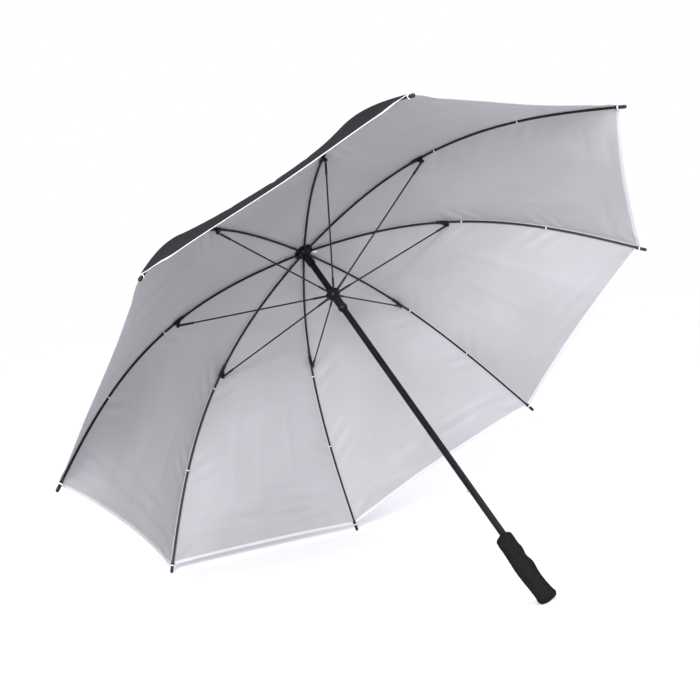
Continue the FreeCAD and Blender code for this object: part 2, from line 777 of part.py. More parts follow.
def write(nodes):
    for made in DOCUMENT.Objects:
        if "Invalid" in made.State or "Error" in made.State:
            raise RuntimeError(made.Name + " failed: " + str(made.State))
    for node in nodes:
        if node.Shape.isNull() or not node.Shape.isValid() or not node.Shape.Solids:
            raise RuntimeError(node.Label + " has no valid solid")
    os.makedirs("parts", exist_ok=True)
    whole = FreeCAD.BoundBox()
    for node in nodes:
        node.Shape.exportStep("parts/%s.step" % node.Label)
        box = node.Shape.optimalBoundingBox(False, False)
        whole.add(box)
        print("%-16s %8.0f mm3  z %.2f..%.2f" % (node.Label, node.Shape.Volume, box.ZMin, box.ZMax))
    print("box X %.2f..%.2f  Y %.2f..%.2f" % (whole.XMin, whole.XMax, whole.YMin, whole.YMax))
    print("box Z %.2f..%.2f" % (whole.ZMin, whole.ZMax))


main()
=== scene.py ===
"""The looks of an open golf umbrella lying on two rib tips and its handle.

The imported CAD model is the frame. Cloth, piping, seams, thread, foam and the materials are made here.
Lengths are in metres. Umbrella coordinates have +Z along the shaft towards the ferrule, Z = 0 at the
notch's pivots, +X across the canopy and +Y from the shaft down to the floor side; to_row() turns them
into the frame's.
"""

import json
import math

import bpy
import numpy as np
from mathutils import Matrix, Vector, noise


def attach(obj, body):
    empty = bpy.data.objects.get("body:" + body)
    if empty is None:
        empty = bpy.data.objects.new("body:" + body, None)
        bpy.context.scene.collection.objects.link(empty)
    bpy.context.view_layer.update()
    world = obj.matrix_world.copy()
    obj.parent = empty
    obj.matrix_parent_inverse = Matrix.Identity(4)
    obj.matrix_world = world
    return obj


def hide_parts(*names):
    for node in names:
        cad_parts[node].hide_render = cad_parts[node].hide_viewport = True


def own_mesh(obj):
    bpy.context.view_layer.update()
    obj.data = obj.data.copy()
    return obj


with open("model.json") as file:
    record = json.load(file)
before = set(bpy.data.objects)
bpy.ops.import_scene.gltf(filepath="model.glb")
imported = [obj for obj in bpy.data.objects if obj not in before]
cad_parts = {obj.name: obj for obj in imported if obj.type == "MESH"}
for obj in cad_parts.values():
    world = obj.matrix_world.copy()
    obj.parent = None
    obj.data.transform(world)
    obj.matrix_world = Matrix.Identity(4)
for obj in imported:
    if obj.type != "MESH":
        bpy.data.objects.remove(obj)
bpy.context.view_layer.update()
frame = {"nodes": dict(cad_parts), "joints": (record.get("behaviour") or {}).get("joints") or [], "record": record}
JOINTS = {joint["name"]: joint for joint in frame["joints"]}
MOUNTS = {mount["name"]: mount for mount in frame["record"]["mounts"]}
# where the cloth's noise is read from
SEED = 7

# ---- the umbrella's own coordinates, read from the frame ----

RIBS = 8
MAIN_RIB = 1


def fold_joint(rib):
    return "canopy_fold" if rib == MAIN_RIB else "rib_fold_%d" % rib


SHAFT_DIR = Vector(MOUNTS["ferrule_tip"]["axis"])
ACROSS = Vector((1, 0, 0))
DOWN = SHAFT_DIR.cross(ACROSS)
HUB = sum((Vector(JOINTS[fold_joint(rib)]["pos_m"]) for rib in range(RIBS)), Vector()) / RIBS
TO_ROW = np.array([ACROSS, DOWN, SHAFT_DIR])
PIVOT_RADIUS = (Vector(JOINTS[fold_joint(0)]["pos_m"]) - HUB).length
FIRST_RIB = math.radians(22.5)
PANEL = 2 * math.pi / RIBS


def to_row(points):
    """Umbrella coordinates, one point or many, in the frame's coordinates."""
    return np.asarray(points, float) @ TO_ROW + np.array(HUB)


def along_row(direction):
    return Vector(np.asarray(direction, float) @ TO_ROW)


def rib_angle(rib):
    return FIRST_RIB + rib * PANEL


def spun(points, angle):
    """Points turned about the shaft."""
    cos, sin = math.cos(angle), math.sin(angle)
    points = np.asarray(points, float)
    x, y, z = points[..., 0], points[..., 1], points[..., 2]
    return np.stack([x * cos - y * sin, x * sin + y * cos, z], axis=-1)


# ---- the rib's line, as in the CAD model ----

HUB_END = np.array([PIVOT_RADIUS, 0.0])
JOINT_AT = np.array([0.3193, -0.0556])
TIP_AT = np.array([0.6649, -0.3154])
HUB_FALL, JOINT_FALL, TIP_FALL = (math.radians(angle) for angle in (1.6, 21.8, 45.4))
INNER_HANDLES = (0.331, 0.358)
OUTER_HANDLES = (0.391, 0.291)
RIB_STEPS = 400


def falling(angle):
    return np.array([math.cos(angle), -math.sin(angle)])


def bezier(start, start_fall, end, end_fall, handles):
    chord = np.linalg.norm(end - start)
    poles = [start, start + falling(start_fall) * chord * handles[0]]
    poles += [end - falling(end_fall) * chord * handles[1], end]
    t = np.linspace(0, 1, RIB_STEPS)[:, None]
    weights = ((1 - t) ** 3, 3 * (1 - t) ** 2 * t, 3 * (1 - t) * t ** 2, t ** 3)
    return sum(weight * pole for weight, pole in zip(weights, poles))


INNER_LINE = bezier(HUB_END, HUB_FALL, JOINT_AT, JOINT_FALL, INNER_HANDLES)
OUTER_LINE = bezier(JOINT_AT, JOINT_FALL, TIP_AT, TIP_FALL, OUTER_HANDLES)
RIB_LINE = np.vstack([INNER_LINE, OUTER_LINE[1:]])
RIB_RUN = np.concatenate([[0], np.cumsum(np.linalg.norm(np.diff(RIB_LINE, axis=0), axis=1))])
RIB_LENGTH = RIB_RUN[-1]
JOINT_RUN = RIB_RUN[len(INNER_LINE) - 1]


def rib_point(run):
    """(distance from the shaft, height) of the rib's centre line, at a length along the rib."""
    return np.stack([np.interp(run, RIB_RUN, RIB_LINE[:, n]) for n in (0, 1)], axis=-1)


def rib_direction(run):
    step = 0.002
    ahead = rib_point(np.minimum(run + step, RIB_LENGTH))
    way = ahead - rib_point(np.minimum(run + step, RIB_LENGTH) - 2 * step)
    return way / np.linalg.norm(way, axis=-1, keepdims=True)


def above_rib(run, height):
    """A point at a set height above the rib's centre line, in its own plane, as (x, 0, z)."""
    point, way = rib_point(run), rib_direction(run)
    point = point + np.stack([-way[..., 1], way[..., 0]], axis=-1) * height
    return np.stack([point[..., 0], np.zeros_like(point[..., 0]), point[..., 1]], axis=-1)


# ---- materials ----


class Shader:
    """A small helper that builds one procedural material around a Principled BSDF."""

    def __init__(self, name, roughness=0.5, **sockets):
        self.material = bpy.data.materials.new(name)
        self.material.use_nodes = True
        self.nodes = self.material.node_tree.nodes
        self.links = self.material.node_tree.links
        self.bsdf = self.nodes["Principled BSDF"]
        self.bsdf.inputs["Roughness"].default_value = roughness
        for socket, value in sockets.items():
            self.bsdf.inputs[socket.replace("_", " ")].default_value = value
        self.place = self.nodes.new("ShaderNodeTexCoord").outputs["Object"]

    def noise(self, scale, detail=3.0):
        node = self.nodes.new("ShaderNodeTexNoise")
        node.inputs["Scale"].default_value = scale
        node.inputs["Detail"].default_value = detail
        self.links.new(self.place, node.inputs["Vector"])
        return node.outputs["Fac"]

    def ramp(self, value, stops):
        node = self.nodes.new("ShaderNodeValToRGB")
        while len(node.color_ramp.elements) < len(stops):
            node.color_ramp.elements.new(0.5)
        for element, (place, colour) in zip(node.color_ramp.elements, stops):
            element.position = place
            element.color = (*colour, 1.0)
        self.links.new(value, node.inputs["Fac"])
        return node.outputs["Color"]

    def maths(self, operation, first, second):
        node = self.nodes.new("ShaderNodeMath")
        node.operation = operation
        for socket, value in zip(node.inputs, (first, second)):
            if isinstance(value, (int, float)):
                socket.default_value = value
            else:
                self.links.new(value, socket)
        return node.outputs["Value"]

    def colour(self, value):
        self.links.new(value, self.bsdf.inputs["Base Color"])

    def rough(self, value, low, high):
        node = self.nodes.new("ShaderNodeMapRange")
        node.inputs["To Min"].default_value = low
        node.inputs["To Max"].default_value = high
        self.links.new(value, node.inputs["Value"])
        self.links.new(node.outputs["Result"], self.bsdf.inputs["Roughness"])

    def bump(self, height, distance, strength=1.0):
        node = self.nodes.new("ShaderNodeBump")
        node.inputs["Distance"].default_value = distance
        node.inputs["Strength"].default_value = strength
        self.links.new(height, node.inputs["Height"])
        self.links.new(node.outputs["Normal"], self.bsdf.inputs["Normal"])


def grey(value, tint=0.0):
    """A grey with a little blue in it."""
    return (value * (1 - tint), value * (1 - tint), value)


def speckled(name, dark, light, scale, roughness, bump_scale, bump_depth, **sockets):
    """Moulded or painted stuff: a grey that varies a little, with a fine bump."""
    shader = Shader(name, roughness=sum(roughness) / 2, **sockets)
    broad = shader.noise(scale)
    shader.colour(shader.ramp(broad, [(0.35, dark), (0.65, light)]))
    shader.rough(broad, *roughness)
    shader.bump(shader.noise(bump_scale, 4.0), bump_depth)
    return shader.material


THREADS_PER_M = 1800


def woven_value(shader, threads_per_m):
    """A plain weave from two crossed thread waves that follow the cloth's own measure."""
    cloth = shader.nodes.new("ShaderNodeUVMap")
    cloth.uv_map = "cloth"
    waves = []
    for direction in ("X", "Y"):
        wave = shader.nodes.new("ShaderNodeTexWave")
        wave.bands_direction = direction
        wave.inputs["Scale"].default_value = threads_per_m / 20
        wave.inputs["Distortion"].default_value = 0.4
        shader.links.new(cloth.outputs["UV"], wave.inputs["Vector"])
        waves.append(wave.outputs["Fac"])
    return shader.maths("MULTIPLY", *waves)


def cloth_material(name, dark, light, roughness, sheen, metallic=0.0, gloss=0.3):
    """Coated polyester: a grey that varies a little, over a weave and soft unevenness."""
    shader = Shader(name, roughness=roughness, Metallic=metallic)
    shader.bsdf.inputs["Sheen Weight"].default_value = sheen
    shader.bsdf.inputs["Specular IOR Level"].default_value = gloss
    shader.bsdf.inputs["Sheen Roughness"].default_value = 0.4
    broad = shader.noise(5.0, 5.0)
    shader.colour(shader.ramp(broad, [(0.3, dark), (0.7, light)]))
    shader.rough(shader.noise(40.0, 3.0), roughness - 0.06, roughness + 0.06)
    weave = woven_value(shader, THREADS_PER_M)
    uneven = shader.maths("MULTIPLY", shader.noise(90.0, 5.0), 1.5)
    shader.bump(shader.maths("ADD", weave, uneven), 0.00012, 0.6)
    return shader.material


LINING = cloth_material("silver_lining", grey(0.262, 0.05), grey(0.305, 0.05), 0.45, 0.1, 0.15)
COVER = cloth_material("dark_cover", grey(0.016, 0.04), grey(0.023, 0.04), 0.85, 0.0, 0.0, 0.005)
PIPING = cloth_material("pale_piping", grey(0.37, 0.02), grey(0.42, 0.02), 0.6, 0.05)
SEAM = cloth_material("seam_tape", grey(0.30, 0.05), grey(0.36, 0.05), 0.6, 0.1)


def dark_plastic(name, tones, scale, roughness, bump, gloss):
    dark, light = (grey(tone, 0.15) for tone in tones)
    return speckled(name, dark, light, scale, roughness, *bump, Specular_IOR_Level=gloss)


THREAD = speckled("white_thread", grey(0.55), grey(0.65), 300, (0.6, 0.8), 900, 0.0002)
PAINT = dark_plastic("shaft_paint", (0.005, 0.008), 12, (0.22, 0.32), (400, 0.00001), 0.1)
FIBRE = dark_plastic("rib_fibreglass", (0.008, 0.014), 60, (0.35, 0.5), (500, 0.00003), 0.15)
MOULDED = dark_plastic("moulded_black", (0.006, 0.010), 40, (0.35, 0.5), (700, 0.00003), 0.15)
STEEL = speckled("spring_steel", grey(0.36), grey(0.44), 200, (0.25, 0.4), 900, 0.00001, Metallic=1.0)
FOAM_TONES = grey(0.004, 0.1), grey(0.009, 0.1)
FOAM = speckled("grip_foam", *FOAM_TONES, 350, (0.82, 0.95), 1400, 0.0004, Specular_IOR_Level=0.05)

NODE_LOOKS = {
    "shaft": PAINT,
    "notch": MOULDED,
    "notch_wire": STEEL,
    "ferrule": MOULDED,
    "rosette": MOULDED,
    "runner": MOULDED,
    "runner_wire": STEEL,
    "top_catch": STEEL,
    "bottom_catch": STEEL,
    "rib_inner": FIBRE,
    "rib_outer": FIBRE,
    "rib_joint": MOULDED,
    "stretcher": FIBRE,
}


def dress_frame():
    """Gives every CAD node that stays its own material."""
    for name, node in frame["nodes"].items():
        family = name if name in NODE_LOOKS else name.rsplit("_", 1)[0]
        if family not in NODE_LOOKS:
            continue
        for slot in node.material_slots:
            slot.link = "OBJECT"
            slot.material = NODE_LOOKS[family]


# ---- mesh helpers ----


def mesh_piece(name, points, faces, materials, face_slots=None, normals=None, cloth=None):
    """A new object from points in the frame's coordinates."""
    mesh = bpy.data.meshes.new(name)
    mesh.from_pydata([tuple(p) for p in np.asarray(points).tolist()], [], faces)
    for material in materials:
        mesh.materials.append(material)
    if face_slots is not None:
        mesh.polygons.foreach_set("material_index", face_slots)
    mesh.polygons.foreach_set("use_smooth", [True] * len(mesh.polygons))
    if cloth is not None:
        layer = mesh.uv_layers.new(name="cloth")
        corners = np.empty(len(mesh.loops), int)
        mesh.loops.foreach_get("vertex_index", corners)
        layer.data.foreach_set("uv", np.asarray(cloth)[corners].ravel())
    mesh.validate()
    if normals is not None:
        mesh.normals_split_custom_set_from_vertices([tuple(n) for n in np.asarray(normals).tolist()])
    piece = bpy.data.objects.new(name, mesh)
    bpy.context.scene.collection.objects.link(piece)
    return piece


def tube_faces(rings, around, closed=False):
    """Quads between rings of points, with flat fans closing an open tube's ends."""
    faces = []
    last = rings if closed else rings - 1
    for ring in range(last):
        here, there = ring * around, (ring + 1) % rings * around
        for n in range(around):
            step = (n + 1) % around
            faces.append((here + n, there + n, there + step, here + step))
    if not closed:
        faces.append(tuple(range(around)))
        faces.append(tuple((rings - 1) * around + n for n in reversed(range(around))))
    return faces


def swept(centres, sides, ups, outline):
    """An outline of (side, up) carried along a line of points. Returns points and faces."""
    centres, sides, ups = (np.asarray(v, float) for v in (centres, sides, ups))
    outline = np.asarray(outline, float)
    rings = centres[:, None] + sides[:, None] * outline[None, :, :1] + ups[:, None] * outline[None, :, 1:]
    return rings.reshape(-1, 3), tube_faces(len(centres), len(outline))


def oval_outline(half_width, half_height, count):
    turn = np.linspace(0, 2 * math.pi, count, endpoint=False)
    return np.stack([np.cos(turn) * half_width, np.sin(turn) * half_height], axis=-1)


def outward(points, faces):
    """The faces, all turned so that the closed shape's outside is its front."""
    points = np.asarray(points)
    total = 0.0
    for face in faces:
        first = points[face[0]]
        for a, b in zip(face[1:-1], face[2:]):
            total += np.dot(first, np.cross(points[a], points[b]))
    return faces if total > 0 else [tuple(reversed(face)) for face in faces]


# ---- the canopy: one continuous cloth, relaxed between its ribs, then cut where the frame folds ----

CLOTH_ABOVE_RIB = 0.0042
CLOTH_HALF = 0.00025
HOLE_RADIUS = 0.0150
RIM_INSET = 0.016
INNER_ROWS = 34
OUTER_ROWS = 64
HALF_COLUMNS = 20
COLUMNS = 2 * HALF_COLUMNS
RELAX_STEPS = 900
# how far the rim is cut in between two ribs, panel by panel; panel n lies between ribs n and n + 1
RIM_CUT = (0.010, 0.003, 0.014, 0.002, 0.003, 0.003, 0.007, 0.009)
# how far the rim hangs in, towards the shaft, between two ribs; the lowest panel hangs out
RIM_DIP = (0.002, -0.005, 0.002, 0.004, 0.005, 0.005, 0.005, 0.003)
# how far each panel hangs out of its tight shape at its middle, outwards if above 0
FULLNESS = (0.002, 0.002, 0.001, 0.0, -0.005, -0.003, 0.0, 0.002)


def row_runs():
    start = HOLE_RADIUS - PIVOT_RADIUS
    inner = np.linspace(start, JOINT_RUN, INNER_ROWS + 1)
    outer = np.linspace(JOINT_RUN, RIB_LENGTH - RIM_INSET, OUTER_ROWS + 1)
    return np.concatenate([inner, outer[1:]])


RUNS = row_runs()
RIM_ROW = len(RUNS) - 1


def flat_sided_cloth():
    """Points [panel, row, column] with each panel straight across between its two ribs."""
    line = above_rib(RUNS, CLOTH_ABOVE_RIB)
    share = np.linspace(0, 1, COLUMNS + 1)[None, :, None]
    panels = []
    for panel in range(RIBS):
        left, right = spun(line, rib_angle(panel)), spun(line, rib_angle(panel + 1))
        panels.append(left[:, None] * (1 - share) + right[:, None] * share)
    return np.array(panels)


def panel_middle(panel):
    """Directions outwards from the shaft and across the panel, at its middle."""
    angle = rib_angle(panel) + PANEL / 2
    out = np.array([math.cos(angle), math.sin(angle), 0])
    return out, np.array([-math.sin(angle), math.cos(angle), 0])


def cut_rim(cloth):
    """Cuts the rim in a shallow curve and slides every row of a panel with it."""
    share = np.linspace(0, 1, COLUMNS + 1)
    bow = 4 * share * (1 - share)
    down_row = ((RUNS - RUNS[0]) / (RUNS[-1] - RUNS[0]))[:, None] ** 2
    fall = rib_direction(RUNS)
    for panel in range(RIBS):
        out, _ = panel_middle(panel)
        way = fall[:, :1] * out + fall[:, 1:] * np.array([0, 0, 1.0])
        inside = np.stack([fall[:, 1], -fall[:, 0]], axis=-1)
        inward = inside[:, :1] * out + inside[:, 1:] * np.array([0, 0, 1.0])
        back = down_row * RIM_CUT[panel] * bow[None]
        dip = down_row * RIM_DIP[panel] * bow[None]
        cloth[panel] -= way[:, None] * back[..., None]
        cloth[panel] += inward[:, None] * dip[..., None]
    return cloth


def relaxed(cloth):
    """Lets the cloth inside each panel find its tight shape; the ribs, hole and rim hold its edges."""
    widths = np.linalg.norm(cloth[0, 1:-1, -1] - cloth[0, 1:-1, 0], axis=-1) / COLUMNS
    before, after = np.diff(RUNS)[:-1], np.diff(RUNS)[1:]
    hoop = (1 / widths ** 2)[None, :, None, None]
    up = (1 / (before * (before + after)))[None, :, None, None]
    down = (1 / (after * (before + after)))[None, :, None, None]
    total = hoop + up + down
    for _ in range(RELAX_STEPS):
        across = (cloth[:, 1:-1, :-2] + cloth[:, 1:-1, 2:]) / 2
        along = cloth[:, :-2, 1:-1] * up + cloth[:, 2:, 1:-1] * down
        cloth[:, 1:-1, 1:-1] = (across * hoop + along) / total
    return cloth


def filled(cloth):
    """Lets each panel hang a little in or out of its tight shape, as loosely cut cloth does."""
    normal = cloth_normals(cloth)
    share = np.linspace(0, 1, COLUMNS + 1)
    bow = (4 * share * (1 - share))[None]
    for panel in range(RIBS):
        down_row = np.sin(math.pi * np.clip(RUNS / (RIB_LENGTH - RIM_INSET), 0, 1))[:, None]
        cloth[panel] += normal[panel] * (FULLNESS[panel] * bow * down_row)[..., None]
    return cloth


def cloth_normals(cloth):
    """Unit normals pointing out of the umbrella, the same on both sides of each rib and split."""
    down = np.gradient(cloth, axis=1)
    across = np.gradient(cloth, axis=2)
    normal = np.cross(down, across)
    normal /= np.linalg.norm(normal, axis=-1, keepdims=True)
    for panel in range(RIBS):
        before = (panel - 1) % RIBS
        shared = normal[panel, :, 0] + normal[before, :, -1]
        shared /= np.linalg.norm(shared, axis=-1, keepdims=True)
        normal[panel, :, 0] = shared
        normal[before, :, -1] = shared
    return normal


def bell(value, centre, width):
    """1 at the centre, and falling softly to 0 on both sides."""
    return math.exp(-(((value - centre) / width) ** 2))


# distances along the rib where thread ties it to the seam
TIES_AT = (0.345, 0.530)
UNEVEN = 0.0045
PULL_LINES = 0.0013
RIM_RUCKS = 0.0022
# (panel, share of its width, distance along the rib) where the cloth is rucked most
RUCKS_AT = (1, 0.40, 0.63)
MOST_RUCKS = 0.0050
CREASES_AT = (0.30, 0.52, 0.71)
CREASE_DEPTH = 0.0014
# ease from the ribs, whose seams hold the cloth, to the free middle of a panel
HELD_WIDTH = 0.06


def wrinkle(panel, run, share):
    """How far a point of the cloth stands in or out of its tight shape."""
    width = 2 * rib_point(np.array(run))[0] * math.sin(PANEL / 2)
    side = min(share, 1 - share) * width
    x, y = share * width, run
    free = min(1.0, side / HELD_WIDTH)
    still = noise.noise(Vector((x * 5, y * 3, panel * 3.1 + SEED)))
    soft = still * UNEVEN * free
    drag = 0.0
    for tie in TIES_AT + (RIB_LENGTH - RIM_INSET,):
        strength = bell(run, tie, 0.045) * bell(side, 0.030, 0.030)
        ripple = math.sin((run - tie) * 150 + side * 80 + 2 * still)
        drag += PULL_LINES * strength * ripple
    near_rim = bell(run, RIB_LENGTH - 0.07, 0.05) * free
    rucks = noise.noise(Vector((x * 9, y * 60, panel * 5.7 + SEED + 11)))
    rucked_panel, rucked_share, rucked_run = RUCKS_AT
    group = 0.0
    if panel == rucked_panel:
        group = bell(share, rucked_share, 0.17) * bell(run, rucked_run, 0.035)
    rucks *= RIM_RUCKS * near_rim + MOST_RUCKS * group
    crease = 0.0
    for fold in CREASES_AT:
        place = fold + 0.03 * noise.noise(Vector((y * 4, panel * 2.3, fold * 9)))
        crease -= CREASE_DEPTH * bell(share, place, 0.012) * bell(run, 0.52, 0.16)
    return soft + drag + rucks + crease


def wrinkled(cloth):
    normal = cloth_normals(cloth)
    lift = np.zeros(cloth.shape[:3])
    for panel in range(RIBS):
        for row in range(1, RIM_ROW + 1):
            for column in range(1, COLUMNS):
                lift[panel, row, column] = wrinkle(panel, RUNS[row], column / COLUMNS)
    return cloth + normal * lift[..., None]


def make_cloth():
    return wrinkled(filled(relaxed(cut_rim(flat_sided_cloth()))))


# ---- the canopy's pieces ----

SIDES = {"a": 1, "b": -1}
# rows of each section; the crown is the top of the inner cloth
CROWN_ROWS = 17
SECTIONS = {"crown": (0, CROWN_ROWS), "inner": (CROWN_ROWS, INNER_ROWS), "outer": (INNER_ROWS, RIM_ROW)}
SOLIDS = {"crown": "inner", "inner": "inner", "outer": "outer"}
BODIES = {"crown": "rib_%d", "inner": "rib_%d", "outer": "rib_end_%d"}
# the angle by which the axis that fold_flat() works out for a half gore leans from the rib's side
FOLD_LEAN = math.radians(15)


def half_gore(field, rib, side):
    """One side's half of the cloth round a rib, [row, column], its first column on the rib."""
    if SIDES[side] > 0:
        return field[rib][:, : HALF_COLUMNS + 1]
    return field[(rib - 1) % RIBS][:, : HALF_COLUMNS - 1 : -1]


def fold_flat(piece, rib, side, section):
    """Works out the gathering directions of a piece along its rib and gives the piece its own mesh; the piece is
    not gathered.
    """
    first, last = SECTIONS[section]
    line = spun(above_rib(RUNS[[first, last]], CLOTH_ABOVE_RIB), rib_angle(rib))
    chord = (line[1] - line[0]) / np.linalg.norm(line[1] - line[0])
    turn = rib_angle(rib) + SIDES[side] * FOLD_LEAN
    across = np.array([-math.sin(turn), math.cos(turn), 0]) * SIDES[side]
    across -= chord * np.dot(across, chord)
    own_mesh(piece)


def grid_faces(rows, columns, start, flip):
    faces = []
    for row in range(rows - 1):
        for column in range(columns - 1):
            a = start + row * columns + column
            for face in ((a, a + columns, a + columns + 1), (a, a + columns + 1, a + 1)):
                faces.append(tuple(reversed(face)) if flip else face)
    return faces


def edge_loop(rows, columns):
    top = [(0, c) for c in range(columns)]
    right = [(r, columns - 1) for r in range(1, rows)]
    bottom = [(rows - 1, c) for c in range(columns - 2, -1, -1)]
    left = [(r, 0) for r in range(rows - 2, 0, -1)]
    return [r * columns + c for r, c in top + right + bottom + left]


def canopy_piece(cloth, normals, rib, side, section):
    first, last = SECTIONS[section]
    points = half_gore(cloth, rib, side)[first : last + 1]
    out = half_gore(normals, rib, side)[first : last + 1]
    rows, columns = points.shape[:2]
    outside = (points + out * CLOTH_HALF).reshape(-1, 3)
    inside = (points - out * CLOTH_HALF).reshape(-1, 3)
    count = rows * columns
    flip = SIDES[side] < 0
    faces = grid_faces(rows, columns, 0, flip) + grid_faces(rows, columns, count, not flip)
    slots = [0] * (len(faces) // 2) + [1] * (len(faces) // 2)
    loop = edge_loop(rows, columns)
    for a, b in zip(loop, loop[1:] + loop[:1]):
        face = (a, b, b + count, a + count)
        faces.append(tuple(reversed(face)) if flip else face)
        slots.append(0)
    across = np.linalg.norm(points - points[:, :1], axis=-1)
    along = np.repeat(RUNS[first : last + 1, None], columns, axis=1)
    measure = np.stack([across, along], axis=-1).reshape(-1, 2)
    flat_normals = np.array([along_row(n) for n in out.reshape(-1, 3)])
    piece = mesh_piece(
        "canopy_%s_%d_%s" % (section, rib, side),
        to_row(np.vstack([outside, inside])),
        faces,
        [COVER, LINING],
        slots,
        np.vstack([flat_normals, -flat_normals]),
        np.vstack([measure, measure]),
    )
    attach(piece, BODIES[section] % rib)
    return piece, points


PIPE_WIDTH = 0.0072
PIPE_THICK = 0.0013
PIPE_SET_IN = 0.0026


def make_piping(cloth, normals, rib, side):
    """The pale binding along the half gore's rim, folded over its edge."""
    rim = half_gore(cloth, rib, side)[RIM_ROW]
    before = half_gore(cloth, rib, side)[RIM_ROW - 1]
    up = half_gore(normals, rib, side)[RIM_ROW]
    inward = before - rim
    inward -= up * (inward * up).sum(axis=-1, keepdims=True)
    inward /= np.linalg.norm(inward, axis=-1, keepdims=True)
    outline = oval_outline(PIPE_WIDTH / 2, PIPE_THICK / 2, 14)
    points, faces = swept(rim + inward * PIPE_SET_IN, inward, up, outline)
    points = to_row(points)
    lean = oval_outline(1 / PIPE_WIDTH, 1 / PIPE_THICK, 14)
    lean /= np.linalg.norm(lean, axis=-1, keepdims=True)
    rounding = inward[:, None] * lean[None, :, :1] + up[:, None] * lean[None, :, 1:]
    rounding = rounding.reshape(-1, 3) @ TO_ROW
    name = "piping_%d_%s" % (rib, side)
    piece = mesh_piece(name, points, outward(points, faces), [PIPING], normals=rounding)
    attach(piece, BODIES["outer"] % rib)
    return piece


SEAM_WIDTH = 0.0085
SEAM_TOP = 0.0038
SEAM_LOW = 0.0029
SEAM_ENDS = {
    "inner": (0.030, JOINT_RUN - 0.030),
    "outer": (JOINT_RUN + 0.030, RIB_LENGTH - RIM_INSET - 0.004),
}


def rib_frame(rib, runs):
    """Directions out of the umbrella and across the rib, at distances along it."""
    way = rib_direction(runs)
    up = spun(np.stack([-way[:, 1], np.zeros(len(runs)), way[:, 0]], axis=-1), rib_angle(rib))
    return up, spun(np.tile([0.0, 1.0, 0.0], (len(runs), 1)), rib_angle(rib))


def cloth_fall(cloth, rib, rows, reach):
    """How far the cloth falls from the rib's ridge at a distance to either side, row by row."""
    half = half_gore(cloth, rib, "a" if reach > 0 else "b")[rows]
    up, across = rib_frame(rib, RUNS[rows])
    rise = half - half[:, :1]
    aside = np.abs((rise * across[:, None]).sum(axis=-1))
    fall = (rise * up[:, None]).sum(axis=-1)
    return np.array([np.interp(abs(reach), a, f) for a, f in zip(aside, fall)])


def make_seam(cloth, rib, section):
    """The felled seam that joins two gores, close under the cloth along the rib."""
    start, end = SEAM_ENDS[section]
    rows = np.flatnonzero((RUNS >= start) & (RUNS <= end))
    middle = spun(above_rib(RUNS[rows], (SEAM_TOP + SEAM_LOW) / 2), rib_angle(rib))
    up, across = rib_frame(rib, RUNS[rows])
    half, thick = SEAM_WIDTH / 2, (SEAM_TOP - SEAM_LOW) / 2
    outline = [(-half, thick), (-half, -thick * 0.4), (-half * 0.85, -thick), (0.0, -thick)]
    outline += [(half * 0.85, -thick), (half, -thick * 0.4), (half, thick), (0.0, thick)]
    rings = []
    for aside, level in outline:
        fall = cloth_fall(cloth, rib, rows, aside)[:, None]
        rings.append(middle + across * aside + up * (level + fall))
    points = to_row(np.stack(rings, axis=1).reshape(-1, 3))
    faces = tube_faces(len(rows), len(outline))
    top_faces = (len(outline) - 2, len(outline) - 1)
    slots = [int(n % len(outline) in top_faces) for n in range(len(faces) - 2)] + [0, 0]
    name = "seam_%s_%d" % (section, rib)
    piece = mesh_piece(name, points, outward(points, faces), [SEAM, COVER], slots)
    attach(piece, BODIES[section] % rib)
    return piece


def make_canopy():
    cloth = make_cloth()
    normals = cloth_normals(cloth)
    for rib in range(RIBS):
        seams = {section: make_seam(cloth, rib, section) for section in SEAM_ENDS}
        for side in SIDES:
            piping = make_piping(cloth, normals, rib, side)
            for section in SECTIONS:
                piece, points = canopy_piece(cloth, normals, rib, side, section)
                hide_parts("canopy_%s_%d" % (SOLIDS[section], rib))
                with_pieces = [seams[section]] if side == "a" and section in seams else []
                with_pieces += [piping] if section == "outer" else []
                fold_flat(piece, rib, side, section)
            fold_flat(piping, rib, side, "outer")
    make_label(cloth, normals)


# ---- thread, patch and grip ----

THREAD_RADIUS = 0.00035
RIB_RADIUS = 0.00225
TIP_RADIUS = 0.0034
WRAP_AT = RIB_LENGTH - 0.0165


def make_wrap(name, rib, run, radius, turns, pitch, lift=0.0):
    """A few turns of thread round the rib, held off it by lift on its cloth side."""
    steps = turns * 16
    turn = np.linspace(0, 2 * math.pi * turns, steps + 1)
    runs = run + (turn / (2 * math.pi) - turns / 2) * pitch
    up, side = rib_frame(rib, runs)
    centre = spun(above_rib(runs, 0.0), rib_angle(rib))
    reach = radius + THREAD_RADIUS
    rise = np.where(np.sin(turn) > 0, lift, 0.0)
    line = centre + side * (np.cos(turn) * reach)[:, None]
    line = line + up * (np.sin(turn) * (reach + rise))[:, None]
    ahead = np.gradient(line, axis=0)
    ahead /= np.linalg.norm(ahead, axis=-1, keepdims=True)
    outward_way = line - centre
    outward_way -= ahead * (outward_way * ahead).sum(axis=-1, keepdims=True)
    outward_way /= np.linalg.norm(outward_way, axis=-1, keepdims=True)
    outline = oval_outline(THREAD_RADIUS, THREAD_RADIUS, 6)
    points, faces = swept(line, np.cross(ahead, outward_way), outward_way, outline)
    points = to_row(points)
    piece = mesh_piece(name, points, outward(points, faces), [THREAD])
    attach(piece, BODIES["outer"] % rib)
    return piece


def make_threads():
    for rib in range(RIBS):
        for n, run in enumerate(TIES_AT):
            make_wrap("thread_tie_%d_%d" % (rib, n + 1), rib, run, RIB_RADIUS, 3, 0.0007, 0.0010)
        make_wrap("tip_thread_%d" % rib, rib, WRAP_AT, TIP_RADIUS, 3, 0.0008)


PATCH_RADIUS = 0.021
PATCH_AT = 0.0034
PATCH_THICK = 0.0004


